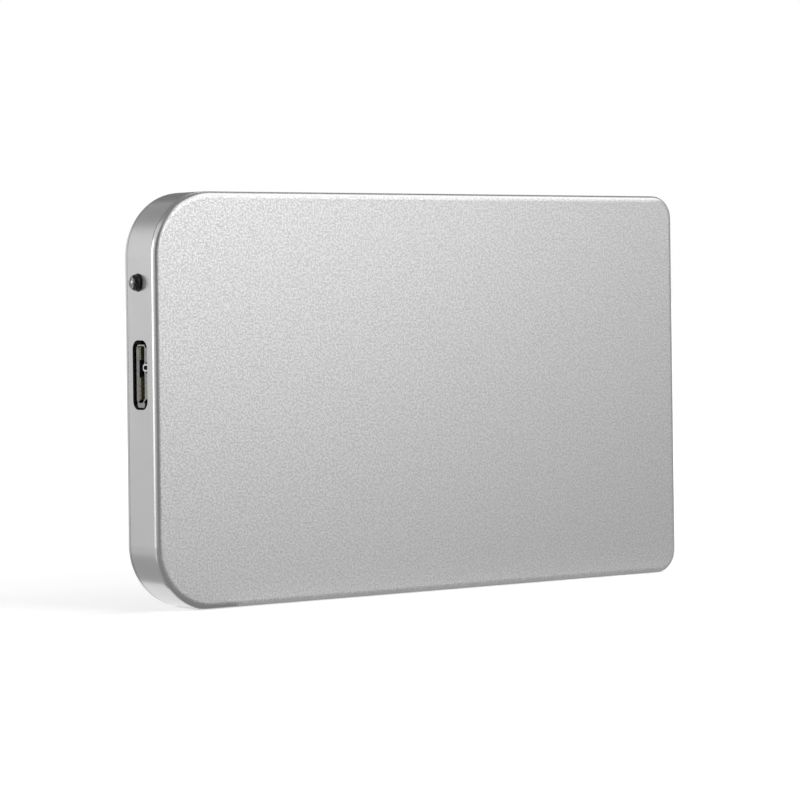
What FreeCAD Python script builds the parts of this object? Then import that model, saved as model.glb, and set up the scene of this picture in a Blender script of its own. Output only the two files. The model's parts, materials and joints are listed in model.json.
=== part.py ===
import FreeCAD, Part
import math
import os

# Portable solid state drive: a slim aluminium case round a 2.5-inch drive and a small bridge board.
# X runs along the case with the port end at -X, the big plain face looks toward -Y and Z is up.
# The case stands on its long edge, and the origin is the middle of that edge.
# Depth is measured from the plain face toward the back cover. All sizes are millimetres.

# Case walls and edges
WALL = 1.2
FACE = 1.2
COVER = 1.2
HEAD_CORNER_RADIUS = 12.0
TAIL_CORNER_RADIUS = 4.5
EDGE_RADIUS = 1.25
COVER_EDGE_RADIUS = 0.9
SEAM_CHAMFER = 0.2

# Fits
SLIP_GAP = 0.15
SCREW_GAP = 0.05
PORT_GAP = 0.87
LAMP_GAP = 0.06
SOCKET_GAP = 0.2
PLUG_GAP = 0.55
ROOM_GAP = 0.5

# Drive, to the outline of the 2.5-inch, 7 mm standard
DRIVE_LENGTH = 100.0
DRIVE_WIDTH = 69.85
DRIVE_THICKNESS = 7.0
DRIVE_SKIN = 0.8
DRIVE_WALL = 1.5
DRIVE_CORNER_RADIUS = 1.5
DRIVE_PLUG_DEPTH = 3.5
DRIVE_PLUG_OFFSET = -9.0

# Room round the drive inside the case
FRONT_CUSHION = 0.75
BACK_CUSHION = 0.45
CUSHION_LENGTH = 80.0
CUSHION_WIDTH = 12.0
CUSHION_OFFSET = 14.0
SIDE_GAP = 2.375
TAIL_GAP = 1.3

# Bridge board and its place behind the head wall
HEAD_GAP = 1.2
BOARD_WIDTH = 14.9
BOARD_LENGTH = 63.0
BOARD_THICKNESS = 1.2
SOCKET_STANDOFF = 5.2
SEAT_SIZE = 4.0

# Port in the head wall
PORT_DEPTH = 5.35
PORT_OFFSET = 4.95
PORT_LENGTH = 11.0
PORT_THICKNESS = 2.85
PORT_BODY = 8.6
PORT_SHEET = 0.3
PORT_RECESS = 0.35
PORT_CORNER_RADIUS = 0.6
PORT_CHAMFER = 1.0
NOTCH_OFFSET = 1.26
NOTCH_RADIUS = 0.4
NOTCH_DEPTH = 0.6
LIP_REACH = 0.7
BACK_LIP_REACH = 0.2
END_LIP_REACH = 0.6
END_LIP_CORNER_RADIUS = 0.5
LIP_RUN = 0.3
LIP_MARGIN = 0.6
CURL_MARGIN = 0.3
SLOT_WIDTH = 5.0
SLOT_CORNER_RADIUS = 1.7
SLOT_SHIFT = -0.1
LEG_START = 3.0
LEG_WIDTH = 1.4
LEG_TAIL = 0.5
TONGUE_THICKNESS = 0.45
TONGUE_RECESS = 0.1
TONGUE_LENGTH = 3.9
TONGUE_SHIFT = 0.4
WIDE_TONGUE = 4.1
WIDE_TONGUE_OFFSET = -2.6
NARROW_TONGUE = 2.4
NARROW_TONGUE_OFFSET = 3.85
TONGUE_CONTACTS = 5
CONTACT_WIDTH = 0.28
CONTACT_SHEET = 0.1

# Indicator lamp in the head wall
LAMP_DEPTH = 5.6
LAMP_OFFSET = 21.8
LAMP_RADIUS = 1.55
LAMP_PROUD = 1.8
LAMP_FLANGE_STEP = 0.35
LAMP_FLANGE = 0.9
LAMP_HOLE_CHAMFER = 0.1
LEAD_SIZE = 0.45
LEAD_SPACING = 2.54
LEAD_SET_IN = 2.0
LEAD_TAIL = 0.8

# Cover screws, their bosses and the guide ribs
SCREW_RADIUS = 1.0
SCREW_LENGTH = 5.0
SCREW_HEAD_RADIUS = 1.9
BOSS_RADIUS = 2.4
BOSS_INSET = 8.5
CROSS_WIDTH = 0.45
CROSS_LENGTH = 1.9
CROSS_DEPTH = 0.45
RIB_THICKNESS = 1.0
RIB_SETS = 3
RIB_MARGIN = 18.0

# Locating ribs and tail hooks of the back cover
COVER_RIB = 0.8
COVER_RIB_HEIGHT = 1.2
HOOK_REACH = 0.5
HOOK_HEIGHT = 0.7
HOOK_WIDTH = 8.0
HOOK_OFFSET = 20.0
FILM = 0.15
FILM_MARGIN = 1.0

# Drive socket on the board, and the plug of the drive that goes into it
SOCKET_WIDTH = 43.0
SOCKET_INSERTION = 4.5
SOCKET_EAR = 2.5
SOCKET_EAR_REACH = 3.0
BLADE_THICKNESS = 1.2
BLADE_TIP = 0.4
BLADE_MARGIN = 0.9
BLADE_KEY = 1.1
PLUG_WIDTH = 41.0
PLUG_BODY = 3.0
PIN_PITCH = 1.27
SIGNAL_PINS = 7
POWER_PINS = 15
PIN_GROUP_GAP = 6.35
PIN_WIDTH = 0.6
PIN_SHEET = 0.25
PAD_SHEET = 0.1

# Parts on the bridge board: distance from its head edge and from the middle of the case
BOARD_SEAT_PLACES = ((3.6, -23.5), (10.1, 24.5))
BRIDGE_CHIP_PLACE = (7.6, -8.5)
BRIDGE_CHIP_SIZE = 7.0
BRIDGE_CHIP_HEIGHT = 0.9
MEMORY_CHIP_PLACE = (8.1, -17.0)
MEMORY_CHIP_LENGTH = 4.9
MEMORY_CHIP_WIDTH = 3.9
MEMORY_CHIP_HEIGHT = 1.5
MEMORY_LEG_SPAN = 6.0
MEMORY_LEG_WIDTH = 0.42
MEMORY_LEG_PITCH = 1.27
MEMORY_LEG_SHEET = 0.2
MEMORY_LEGS_A_SIDE = 4
CRYSTAL_PLACE = (10.1, 1.5)
CRYSTAL_SIZE = (2.5, 3.2, 0.8)
INDUCTOR_PLACE = (9.1, 17.5)
INDUCTOR_SIZE = 4.0
INDUCTOR_HEIGHT = 1.8
BOARD_CAPACITOR_PLACES = ((3.0, 15.0), (5.4, 15.0), (5.4, 19.5), (2.0, -6.5), (2.0, -10.5))
BOARD_RESISTOR_PLACES = ((12.8, 21.0), (2.0, -14.5), (4.4, -14.5))
CAPACITOR_SIZE = (1.6, 0.8, 0.8)
RESISTOR_SIZE = (1.6, 0.8, 0.45)
CHIP_BEVEL = 0.12
END_CAP = 0.3
END_CAP_STEP = 0.06

# Parts inside the drive: distance from its port end and from its middle line
DRIVE_BOARD_LENGTH = 52.0
DRIVE_BOARD_WIDTH = 52.0
DRIVE_BOARD_THICKNESS = 1.0
DRIVE_POST = 4.0
LID_RIB = 0.8
LID_RIB_HEIGHT = 0.8
LID_RIB_MARGIN = 6.0
FIXING_HOLE_RADIUS = 1.25
HEAD_FIXING_INSET = 14.0
TAIL_FIXING_INSET = 9.4
FIXING_HOLE_INSET = 4.07
FIXING_HOLE_DEPTH = 2.5
FIXING_PAD = 7.0
CONTROLLER_PLACE = (22.0, 0.0)
CONTROLLER_SIZE = (15.0, 15.0, 1.2)
CACHE_PLACE = (22.0, 15.5)
CACHE_SIZE = (8.0, 12.0, 1.0)
FLASH_PLACES = ((38.5, -11.0), (38.5, 11.0), (52.0, -11.0), (52.0, 11.0))
FLASH_SIZE = (12.0, 18.0, 1.0)
THERMAL_PAD_SIZE = 13.0
DRIVE_CAPACITOR_PLACES = ((12.5, -14.5), (15.0, -14.5), (17.5, -14.5), (20.0, -14.5))

# Outer size of the case, built up round the drive
CASE_LENGTH = WALL + HEAD_GAP + BOARD_WIDTH + SOCKET_STANDOFF + DRIVE_LENGTH + TAIL_GAP + WALL
CASE_HEIGHT = DRIVE_WIDTH + 2 * (SIDE_GAP + WALL)
CASE_THICKNESS = FACE + FRONT_CUSHION + DRIVE_THICKNESS + BACK_CUSHION + COVER

# Places that follow from the sizes above
HEAD_X = -CASE_LENGTH / 2
TAIL_X = CASE_LENGTH / 2
MID_Z = CASE_HEIGHT / 2
RIM_DEPTH = CASE_THICKNESS - COVER
BOARD_X = HEAD_X + WALL + HEAD_GAP
BOARD_END_X = BOARD_X + BOARD_WIDTH
BOARD_FRONT = PORT_DEPTH + PORT_THICKNESS / 2
BOARD_BACK = BOARD_FRONT + BOARD_THICKNESS
PORT_X = HEAD_X + PORT_RECESS
PORT_END_X = PORT_X + PORT_BODY
PORT_Z = MID_Z + PORT_OFFSET
TONGUE_X = PORT_X + TONGUE_RECESS
TONGUE_END_X = TONGUE_X + TONGUE_LENGTH
TONGUE_FACE = PORT_DEPTH + TONGUE_SHIFT
LAMP_Z = MID_Z + LAMP_OFFSET
DRIVE_X = BOARD_END_X + SOCKET_STANDOFF
DRIVE_END_X = DRIVE_X + DRIVE_LENGTH
DRIVE_Z = MID_Z - DRIVE_WIDTH / 2
DRIVE_TOP_Z = MID_Z + DRIVE_WIDTH / 2
DRIVE_FRONT = FACE + FRONT_CUSHION
DRIVE_BACK = DRIVE_FRONT + DRIVE_THICKNESS
DRIVE_LID_INSIDE = DRIVE_FRONT + DRIVE_SKIN
DRIVE_FLOOR = DRIVE_BACK - DRIVE_SKIN
PLUG_DEPTH = DRIVE_FRONT + DRIVE_PLUG_DEPTH
PLUG_Z = MID_Z + DRIVE_PLUG_OFFSET
SOCKET_END_X = DRIVE_X + SOCKET_INSERTION
PLUG_X = SOCKET_END_X + ROOM_GAP
PLUG_END_X = PLUG_X + PLUG_BODY
BLADE_X = DRIVE_X + BLADE_TIP
BLADE_FRONT = PLUG_DEPTH - BLADE_THICKNESS / 2
PIN_FACE = BLADE_FRONT - PAD_SHEET
DRIVE_BOARD_FRONT = PLUG_DEPTH + BLADE_THICKNESS / 2 - SLIP_GAP
DRIVE_BOARD_BACK = DRIVE_BOARD_FRONT + DRIVE_BOARD_THICKNESS
BOSS_X = HEAD_X + BOSS_INSET
BOSS_HEIGHTS = (BOSS_INSET, CASE_HEIGHT - BOSS_INSET)
BORE_RADIUS = SCREW_RADIUS + SCREW_GAP
GUIDE_RIB_TOP = RIM_DEPTH - COVER_RIB_HEIGHT - SLIP_GAP

Vector = FreeCAD.Vector
ALONG_X = Vector(1, 0, 0)
ALONG_Y = Vector(0, 1, 0)
ALONG_Z = Vector(0, 0, 1)


def at(x, depth, z):
    """Point at a depth behind the plain face."""
    return Vector(x, depth - CASE_THICKNESS / 2, z)


def block(x0, x1, depth0, depth1, z0, z1):
    """Box between two opposite corners."""
    return Part.makeBox(x1 - x0, depth1 - depth0, z1 - z0, at(x0, depth0, z0))


def square_post(size, x, z, depth0, depth1):
    """Square bar through the thickness of the case."""
    half = size / 2
    return block(x - half, x + half, depth0, depth1, z - half, z + half)


def rod(radius, x, z, depth0, depth1):
    """Round bar through the thickness of the case."""
    return Part.makeCylinder(radius, depth1 - depth0, at(x, depth0, z), ALONG_Y)


def polygon(points):
    """Flat face with straight sides."""
    return Part.Face(Part.makePolygon(points + points[:1]))


def strip(points, z, width):
    """Bent sheet: a side view of x and depth, given a width along Z about its middle."""
    side = [at(x, depth, z - width / 2) for x, depth in points]
    return polygon(side).extrude(ALONG_Z * width)


def turned(profile, x, z, depth):
    """Solid of revolution along Y from radius and distance pairs, running in from depth."""
    points = [at(x + radius, depth - run, z) for radius, run in profile]
    return polygon(points).revolve(at(x, depth, z), ALONG_Y, 360)


def rounded_outline(x0, x1, z0, z1, depth, radii):
    """Upright outline whose corner radii run from low head, low tail, high tail to high head."""
    corners = ((x0, z0, 1, 1), (x1, z0, -1, 1), (x1, z1, -1, -1), (x0, z1, 1, -1))
    starts = []
    ends = []
    arcs = []
    for place, ((x, z, sx, sz), radius) in enumerate(zip(corners, radii)):
        beside = at(x + sx * radius, depth, z)
        above = at(x, depth, z + sz * radius)
        first, last = (above, beside) if place % 2 == 0 else (beside, above)
        lean = radius * (1 - math.sqrt(0.5))
        middle = at(x + sx * lean, depth, z + sz * lean)
        starts.append(first)
        ends.append(last)
        arcs.append(Part.Arc(first, middle, last).toShape() if radius else None)
    edges = []
    for place, arc in enumerate(arcs):
        if arc:
            edges.append(arc)
        edges.append(Part.LineSegment(ends[place], starts[(place + 1) % len(starts)]).toShape())
    return Part.Face(Part.Wire(edges))


def case_slab(inset, depth0, depth1):
    """Plate of the case outline drawn in by inset; a corner rounder than its inset stays round."""
    head = max(HEAD_CORNER_RADIUS - inset, 0)
    tail = max(TAIL_CORNER_RADIUS - inset, 0)
    outline = rounded_outline(
        HEAD_X + inset, TAIL_X - inset, inset, CASE_HEIGHT - inset, depth0, (head, tail, tail, head)
    )
    return outline.extrude(ALONG_Y * (depth1 - depth0))


def edges_at_depth(shape, depth):
    """Edges that lie flat at one depth."""
    y = at(0, depth, 0).y
    return [e for e in shape.Edges if abs(e.BoundBox.YMin - y) + abs(e.BoundBox.YMax - y) < 1e-5]


def board_place(place):
    """X and Z of a part on the bridge board."""
    return BOARD_X + place[0], MID_Z + place[1]


def drive_place(place):
    """X and Z of a part inside the drive."""
    return DRIVE_X + place[0], MID_Z + place[1]


def pin_heights():
    """Heights of the signal and the power pins of the drive connector."""
    span = (SIGNAL_PINS + POWER_PINS - 2) * PIN_PITCH + PIN_GROUP_GAP
    first = PLUG_Z - span / 2
    signal = [first + PIN_PITCH * i for i in range(SIGNAL_PINS)]
    power = [signal[-1] + PIN_GROUP_GAP + PIN_PITCH * i for i in range(POWER_PINS)]
    return signal, power


def make_front_shell():
    """Deep pan: plain face, walls, screw bosses, board seats and guide ribs in one casting."""
    outside = case_slab(0, 0, RIM_DEPTH)
    outside = outside.makeFillet(EDGE_RADIUS, edges_at_depth(outside, 0))
    outside = outside.makeChamfer(SEAM_CHAMFER, edges_at_depth(outside, RIM_DEPTH))
    shell = outside.cut(case_slab(WALL, FACE, RIM_DEPTH))
    bosses = [rod(BOSS_RADIUS, BOSS_X, z, FACE / 2, RIM_DEPTH) for z in BOSS_HEIGHTS]
    shell = shell.fuse(bosses + board_seats() + guide_ribs())
    bore_end = CASE_THICKNESS - SCREW_LENGTH - ROOM_GAP
    bores = [rod(BORE_RADIUS, BOSS_X, z, bore_end, RIM_DEPTH) for z in BOSS_HEIGHTS]
    return shell.cut(bores + [port_slot(), lamp_hole()] + hook_pockets()).removeSplitter()


def board_seats():
    """Square posts under the bridge board, rooted in the face."""
    places = [board_place(place) for place in BOARD_SEAT_PLACES]
    return [square_post(SEAT_SIZE, x, z, FACE / 2, BOARD_FRONT) for x, z in places]


def guide_ribs():
    """Short ribs on the long walls that keep the drive in line."""
    reach = WALL + SIDE_GAP - SLIP_GAP
    step = (DRIVE_LENGTH - 2 * RIB_MARGIN) / (RIB_SETS - 1)
    ribs = []
    for i in range(RIB_SETS):
        x = DRIVE_X + RIB_MARGIN + i * step
        x0, x1 = x - RIB_THICKNESS / 2, x + RIB_THICKNESS / 2
        for low, high in ((WALL / 2, reach), (CASE_HEIGHT - reach, CASE_HEIGHT - WALL / 2)):
            ribs.append(block(x0, x1, FACE / 2, GUIDE_RIB_TOP, low, high))
    return ribs


def port_slot():
    """Cutter for the slot in front of the port."""
    half = PORT_LENGTH / 2 + PORT_GAP
    depth, middle = PORT_DEPTH + SLOT_SHIFT, PORT_Z + SLOT_SHIFT
    near, far = depth - SLOT_WIDTH / 2, depth + SLOT_WIDTH / 2
    slot = block(HEAD_X - ROOM_GAP, HEAD_X + WALL + ROOM_GAP, near, far, middle - half, middle + half)
    along = [e for e in slot.Edges if e.BoundBox.XLength > WALL]
    return slot.makeFillet(SLOT_CORNER_RADIUS, along)


def lamp_hole():
    """Cutter for the lamp's hole, eased where it meets the outside."""
    bore = LAMP_RADIUS + LAMP_GAP
    centre = at(HEAD_X, LAMP_DEPTH, LAMP_Z)
    hole = Part.makeCylinder(bore, WALL, centre, ALONG_X)
    mouth = Part.makeCone(bore + LAMP_HOLE_CHAMFER, bore, LAMP_HOLE_CHAMFER, centre, ALONG_X)
    return hole.fuse(mouth)


def hook_blocks(spread, reach):
    """Both hooks of the cover, or the pockets round them where spread is the clearance."""
    bottom = RIM_DEPTH - COVER_RIB_HEIGHT - spread
    top = RIM_DEPTH - COVER_RIB_HEIGHT + HOOK_HEIGHT + spread
    half = HOOK_WIDTH / 2 + spread
    return [
        block(TAIL_X - WALL - SLIP_GAP, TAIL_X - WALL + reach, bottom, top, z - half, z + half)
        for z in (MID_Z - HOOK_OFFSET, MID_Z + HOOK_OFFSET)
    ]


def hook_pockets():
    """Pockets inside the tail wall for the hooks of the cover."""
    return hook_blocks(SLIP_GAP, HOOK_REACH + SLIP_GAP)


def cover_ribs():
    """Straight ribs under the cover that locate it inside the four walls."""
    outer = WALL + SLIP_GAP
    inner = outer + COVER_RIB
    depths = (RIM_DEPTH - COVER_RIB_HEIGHT, RIM_DEPTH)
    along = (HEAD_X + HEAD_CORNER_RADIUS, TAIL_X - TAIL_CORNER_RADIUS)
    return [
        block(*along, *depths, outer, inner),
        block(*along, *depths, CASE_HEIGHT - inner, CASE_HEIGHT - outer),
        block(HEAD_X + outer, HEAD_X + inner, *depths, HEAD_CORNER_RADIUS, CASE_HEIGHT - HEAD_CORNER_RADIUS),
        block(TAIL_X - inner, TAIL_X - outer, *depths, TAIL_CORNER_RADIUS, CASE_HEIGHT - TAIL_CORNER_RADIUS),
    ]


def board_clamps(spread):
    """Square posts under the cover that hold the bridge board on its seats, grown by spread."""
    places = [board_place(place) for place in BOARD_SEAT_PLACES]
    return [square_post(SEAT_SIZE + 2 * spread, x, z, BOARD_BACK, RIM_DEPTH) for x, z in places]


def make_back_cover():
    """Flat cover with a rounded edge, locating ribs, tail hooks, board clamps and screw holes."""
    plate = case_slab(0, RIM_DEPTH, CASE_THICKNESS)
    plate = plate.makeFillet(COVER_EDGE_RADIUS, edges_at_depth(plate, CASE_THICKNESS))
    cover = plate.fuse(cover_ribs() + hook_blocks(0, HOOK_REACH) + board_clamps(0))
    mouth = SCREW_HEAD_RADIUS + SCREW_GAP
    profile = [(0, 0), (mouth, 0), (BORE_RADIUS, mouth - BORE_RADIUS), (BORE_RADIUS, COVER), (0, COVER)]
    holes = [turned(profile, BOSS_X, z, CASE_THICKNESS) for z in BOSS_HEIGHTS]
    return cover.cut(holes).removeSplitter()


def make_cover_screws():
    """Two flat-headed cross-recess screws level with the outside of the cover."""
    cone = SCREW_HEAD_RADIUS - SCREW_RADIUS
    profile = [
        (0, 0),
        (SCREW_HEAD_RADIUS, 0),
        (SCREW_RADIUS, cone),
        (SCREW_RADIUS, SCREW_LENGTH),
        (0, SCREW_LENGTH),
    ]
    long, short = CROSS_LENGTH / 2, CROSS_WIDTH / 2
    depths = (CASE_THICKNESS - CROSS_DEPTH, CASE_THICKNESS)
    screws = []
    for z in BOSS_HEIGHTS:
        flat = block(BOSS_X - long, BOSS_X + long, *depths, z - short, z + short)
        upright = block(BOSS_X - short, BOSS_X + short, *depths, z - long, z + long)
        screws.append(turned(profile, BOSS_X, z, CASE_THICKNESS).cut(flat.fuse(upright)))
    return screws


def make_insulating_sheet():
    """Thin film on the cover behind the bridge board, cut out round the board clamps."""
    low, high = board_notch_heights()
    sheet = block(BOARD_X + FILM_MARGIN, BOARD_END_X, RIM_DEPTH - FILM, RIM_DEPTH, low, high)
    return sheet.cut(board_clamps(SLIP_GAP))


def make_cushions(depth0, depth1):
    """Two foam strips along the drive."""
    x = (DRIVE_X + DRIVE_END_X) / 2
    half = CUSHION_WIDTH / 2
    return [
        block(x - CUSHION_LENGTH / 2, x + CUSHION_LENGTH / 2, depth0, depth1, z - half, z + half)
        for z in (MID_Z - CUSHION_OFFSET, MID_Z + CUSHION_OFFSET)
    ]


def make_indicator_lamp():
    """Round lamp: a dome through the wall and a flange behind it."""
    seat = HEAD_X + WALL
    centre = at(HEAD_X - LAMP_PROUD + LAMP_RADIUS, LAMP_DEPTH, LAMP_Z)
    dome = Part.makeSphere(LAMP_RADIUS, centre, ALONG_X, -90, 0, 360)
    barrel = Part.makeCylinder(LAMP_RADIUS, seat - centre.x, centre, ALONG_X)
    flange_radius = LAMP_RADIUS + LAMP_FLANGE_STEP
    flange = Part.makeCylinder(flange_radius, LAMP_FLANGE, at(seat, LAMP_DEPTH, LAMP_Z), ALONG_X)
    return dome.fuse([barrel, flange]).removeSplitter()


def lead_heights():
    """Heights of the two leads of the lamp."""
    return LAMP_Z - LEAD_SPACING / 2, LAMP_Z + LEAD_SPACING / 2


def make_lamp_leads():
    """Two bent wires from the lamp through the board."""
    start = HEAD_X + WALL + LAMP_FLANGE
    inner = BOARD_X + LEAD_SET_IN - LEAD_SIZE / 2
    outer = BOARD_X + LEAD_SET_IN + LEAD_SIZE / 2
    near, far = LAMP_DEPTH - LEAD_SIZE / 2, LAMP_DEPTH + LEAD_SIZE / 2
    end = BOARD_BACK + LEAD_TAIL
    side = [(start, near), (outer, near), (outer, end), (inner, end), (inner, far), (start, far)]
    return [strip(side, z, LEAD_SIZE) for z in lead_heights()]


def board_notch_heights():
    """Heights between which the head half of the board clears the cover bosses."""
    clear = BOSS_INSET + BOSS_RADIUS + ROOM_GAP
    return clear, CASE_HEIGHT - clear


def make_bridge_board():
    """Circuit board with cut corners, port leg slots and lead holes."""
    foot, head = MID_Z - BOARD_LENGTH / 2, MID_Z + BOARD_LENGTH / 2
    low, high = board_notch_heights()
    step = BOSS_X + BOSS_RADIUS + ROOM_GAP
    outline = [
        (BOARD_X, low),
        (step, low),
        (step, foot),
        (BOARD_END_X, foot),
        (BOARD_END_X, head),
        (step, head),
        (step, high),
        (BOARD_X, high),
    ]
    board = polygon([at(x, BOARD_FRONT, z) for x, z in outline]).extrude(ALONG_Y * BOARD_THICKNESS)
    lead_x = BOARD_X + LEAD_SET_IN
    lead_hole = LEAD_SIZE + 2 * SLIP_GAP
    cuts = [square_post(lead_hole, lead_x, z, BOARD_FRONT, BOARD_BACK) for z in lead_heights()]
    for x0, x1, z0, z1 in port_leg_boxes():
        cuts.append(block(
            x0 - SLIP_GAP, x1 + SLIP_GAP, BOARD_FRONT, BOARD_BACK, z0 - SLIP_GAP, z1 + SLIP_GAP
        ))
    return board.cut(cuts)


def port_outline(inset):
    """Mouth of the port seen from the head end, drawn in by inset."""
    half = PORT_LENGTH / 2 - inset
    flat = PORT_THICKNESS / 2 - inset
    radius = max(PORT_CORNER_RADIUS - inset, PORT_SHEET)
    lean = radius * (1 - math.sqrt(0.5))
    slope = PORT_CHAMFER - inset * (2 - math.sqrt(2))
    notch = NOTCH_RADIUS + inset
    low, high = NOTCH_OFFSET - notch, NOTCH_OFFSET + notch
    bottom = -PORT_THICKNESS / 2 + NOTCH_DEPTH - NOTCH_RADIUS

    def spot(along, across):
        return at(PORT_X, PORT_DEPTH + across, PORT_Z + along)

    def line(a, b):
        return Part.LineSegment(spot(*a), spot(*b)).toShape()

    def arc(a, middle, b):
        return Part.Arc(spot(*a), spot(*middle), spot(*b)).toShape()

    edges = [
        line((-half + radius, flat), (half - radius, flat)),
        arc((half - radius, flat), (half - lean, flat - lean), (half, flat - radius)),
        line((half, flat - radius), (half, radius - flat)),
        arc((half, radius - flat), (half - lean, lean - flat), (half - radius, -flat)),
        line((half - radius, -flat), (high, -flat)),
        line((high, -flat), (high, bottom)),
        arc((high, bottom), (NOTCH_OFFSET, bottom + notch), (low, bottom)),
        line((low, bottom), (low, -flat)),
        line((low, -flat), (-half + slope, -flat)),
        line((-half + slope, -flat), (-half, slope - flat)),
        line((-half, slope - flat), (-half, flat - radius)),
        arc((-half, flat - radius), (-half + lean, flat - lean), (-half + radius, flat)),
    ]
    return Part.Face(Part.Wire(edges))


def port_leg_boxes():
    """Plan of the two legs of the port shell: x and z limits."""
    x0 = PORT_X + LEG_START
    half = PORT_LENGTH / 2
    return [
        (x0, x0 + LEG_WIDTH, PORT_Z - half, PORT_Z - half + PORT_SHEET),
        (x0, x0 + LEG_WIDTH, PORT_Z + half - PORT_SHEET, PORT_Z + half),
    ]


def lip_side(edge, inside):
    """Side view of a flared lip, from its outer edge at the mouth to the inside of the sheet."""
    bend = PORT_X + LIP_RUN
    return [
        (PORT_X, edge),
        (PORT_X + PORT_SHEET, edge),
        (bend + PORT_SHEET, inside),
        (bend, inside),
        (PORT_X, inside),
    ]


def front_lips():
    """Flared lips on the notched side of the mouth, and the curl between them."""
    front = PORT_DEPTH - PORT_THICKNESS / 2
    outer, inside = front - LIP_REACH, front + PORT_SHEET
    half = PORT_LENGTH / 2
    curl = NOTCH_RADIUS + PORT_SHEET
    spans = [
        (-half + PORT_CHAMFER, NOTCH_OFFSET - curl - CURL_MARGIN),
        (NOTCH_OFFSET + curl + CURL_MARGIN, half - LIP_MARGIN),
    ]
    side = lip_side(outer, inside)
    lips = [strip(side, PORT_Z + (low + high) / 2, high - low) for low, high in spans]
    for offset in (NOTCH_OFFSET - curl, NOTCH_OFFSET + NOTCH_RADIUS):
        z = PORT_Z + offset
        lips.append(block(PORT_X, PORT_X + LIP_RUN, outer, inside, z, z + PORT_SHEET))
    return lips


def back_lip():
    """Flared lip on the plain side of the mouth, and the cutter that eases its inner edge."""
    back = PORT_DEPTH + PORT_THICKNESS / 2
    edge, inside = back + BACK_LIP_REACH, back - PORT_SHEET
    length = PORT_LENGTH - 2 * LIP_MARGIN
    lip = strip(lip_side(edge, inside), PORT_Z, length)
    ease = [(PORT_X, inside), (PORT_X, edge - PORT_SHEET / 2), (PORT_X + LIP_RUN, inside)]
    return lip, strip(ease, PORT_Z, length)


def end_lip():
    """Flared lip with rounded corners at the lower end of the mouth, across its whole width."""
    near = PORT_DEPTH - PORT_THICKNESS / 2 + PORT_SHEET
    far = PORT_DEPTH + PORT_THICKNESS / 2
    end = PORT_Z - PORT_LENGTH / 2
    side = [at(x, near, z) for x, z in lip_side(end - END_LIP_REACH, end + PORT_SHEET)]
    lip = polygon(side).extrude(ALONG_Y * (far - near))
    low = lip.BoundBox.ZMin + END_LIP_REACH / 2
    along = [e for e in lip.Edges if e.BoundBox.ZMax < low and e.BoundBox.YLength < PORT_SHEET / 2]
    return lip.makeFillet(END_LIP_CORNER_RADIUS, along)


def make_port_shell():
    """Stamped sheet-metal sleeve with a notch, one bevelled corner, flared lips and two legs."""
    sleeve = port_outline(0).extrude(ALONG_X * PORT_BODY)
    sleeve = sleeve.cut(port_outline(PORT_SHEET).extrude(ALONG_X * PORT_BODY))
    tail = BOARD_BACK + LEG_TAIL
    legs = [block(x0, x1, PORT_DEPTH, tail, z0, z1) for x0, x1, z0, z1 in port_leg_boxes()]
    lip, ease = back_lip()
    return sleeve.fuse(legs + front_lips() + [lip, end_lip()]).cut(ease).removeSplitter()


def port_tongues():
    """Middle height and width of the two tongues of the port."""
    wide = (PORT_Z + WIDE_TONGUE_OFFSET, WIDE_TONGUE)
    narrow = (PORT_Z + NARROW_TONGUE_OFFSET, NARROW_TONGUE)
    return wide, narrow


def tongue_contact_heights(middle, width):
    """Heights of the contacts spread over one tongue."""
    pitch = width / TONGUE_CONTACTS
    first = middle - pitch * (TONGUE_CONTACTS - 1) / 2
    return [first + pitch * i for i in range(TONGUE_CONTACTS)]


def make_port_contacts():
    """Gold strips along both tongues, bent down to the board behind the port."""
    outer = PORT_END_X + 2 * CONTACT_SHEET
    inner = PORT_END_X + CONTACT_SHEET
    top = TONGUE_FACE - CONTACT_SHEET
    side = [
        (TONGUE_X, top),
        (outer, top),
        (outer, BOARD_FRONT),
        (inner, BOARD_FRONT),
        (inner, TONGUE_FACE),
        (TONGUE_X, TONGUE_FACE),
    ]
    contacts = []
    for middle, width in port_tongues():
        contacts += [strip(side, z, CONTACT_WIDTH) for z in tongue_contact_heights(middle, width)]
    return contacts


def make_port_insulator():
    """Moulded block at the back of the port with two tongues and a passage for each row of contacts."""
    core = port_outline(PORT_SHEET).extrude(ALONG_X * (PORT_END_X - TONGUE_END_X))
    core.translate(ALONG_X * (TONGUE_END_X - PORT_X))
    tongues = []
    passages = []
    for middle, width in port_tongues():
        low, high = middle - width / 2, middle + width / 2
        under = TONGUE_FACE + TONGUE_THICKNESS
        tongues.append(block(TONGUE_X, TONGUE_END_X, TONGUE_FACE, under, low, high))
        rows = tongue_contact_heights(middle, width)
        low, high = rows[0] - CONTACT_WIDTH / 2, rows[-1] + CONTACT_WIDTH / 2
        passages.append(block(TONGUE_END_X, PORT_END_X, TONGUE_FACE - CONTACT_SHEET, TONGUE_FACE, low, high))
    return core.fuse(tongues).cut(passages).removeSplitter()


def blade_solids(gap, x0, x1):
    """Signal and power blade, each with its end key, grown by a gap all round."""
    near, far = BLADE_FRONT - gap, BLADE_FRONT + BLADE_THICKNESS + gap
    signal, power = pin_heights()
    solids = []
    for pins, key_first in ((signal, True), (power, False)):
        low, high = pins[0] - BLADE_MARGIN, pins[-1] + BLADE_MARGIN
        key_low, key_high = (low, low + BLADE_KEY) if key_first else (high - BLADE_KEY, high)
        flat = block(x0, x1, near, far, low - gap, high + gap)
        key = block(x0, x1, near, far + BLADE_KEY, key_low - gap, key_high + gap)
        solids.append(flat.fuse(key).removeSplitter())
    return solids


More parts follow.
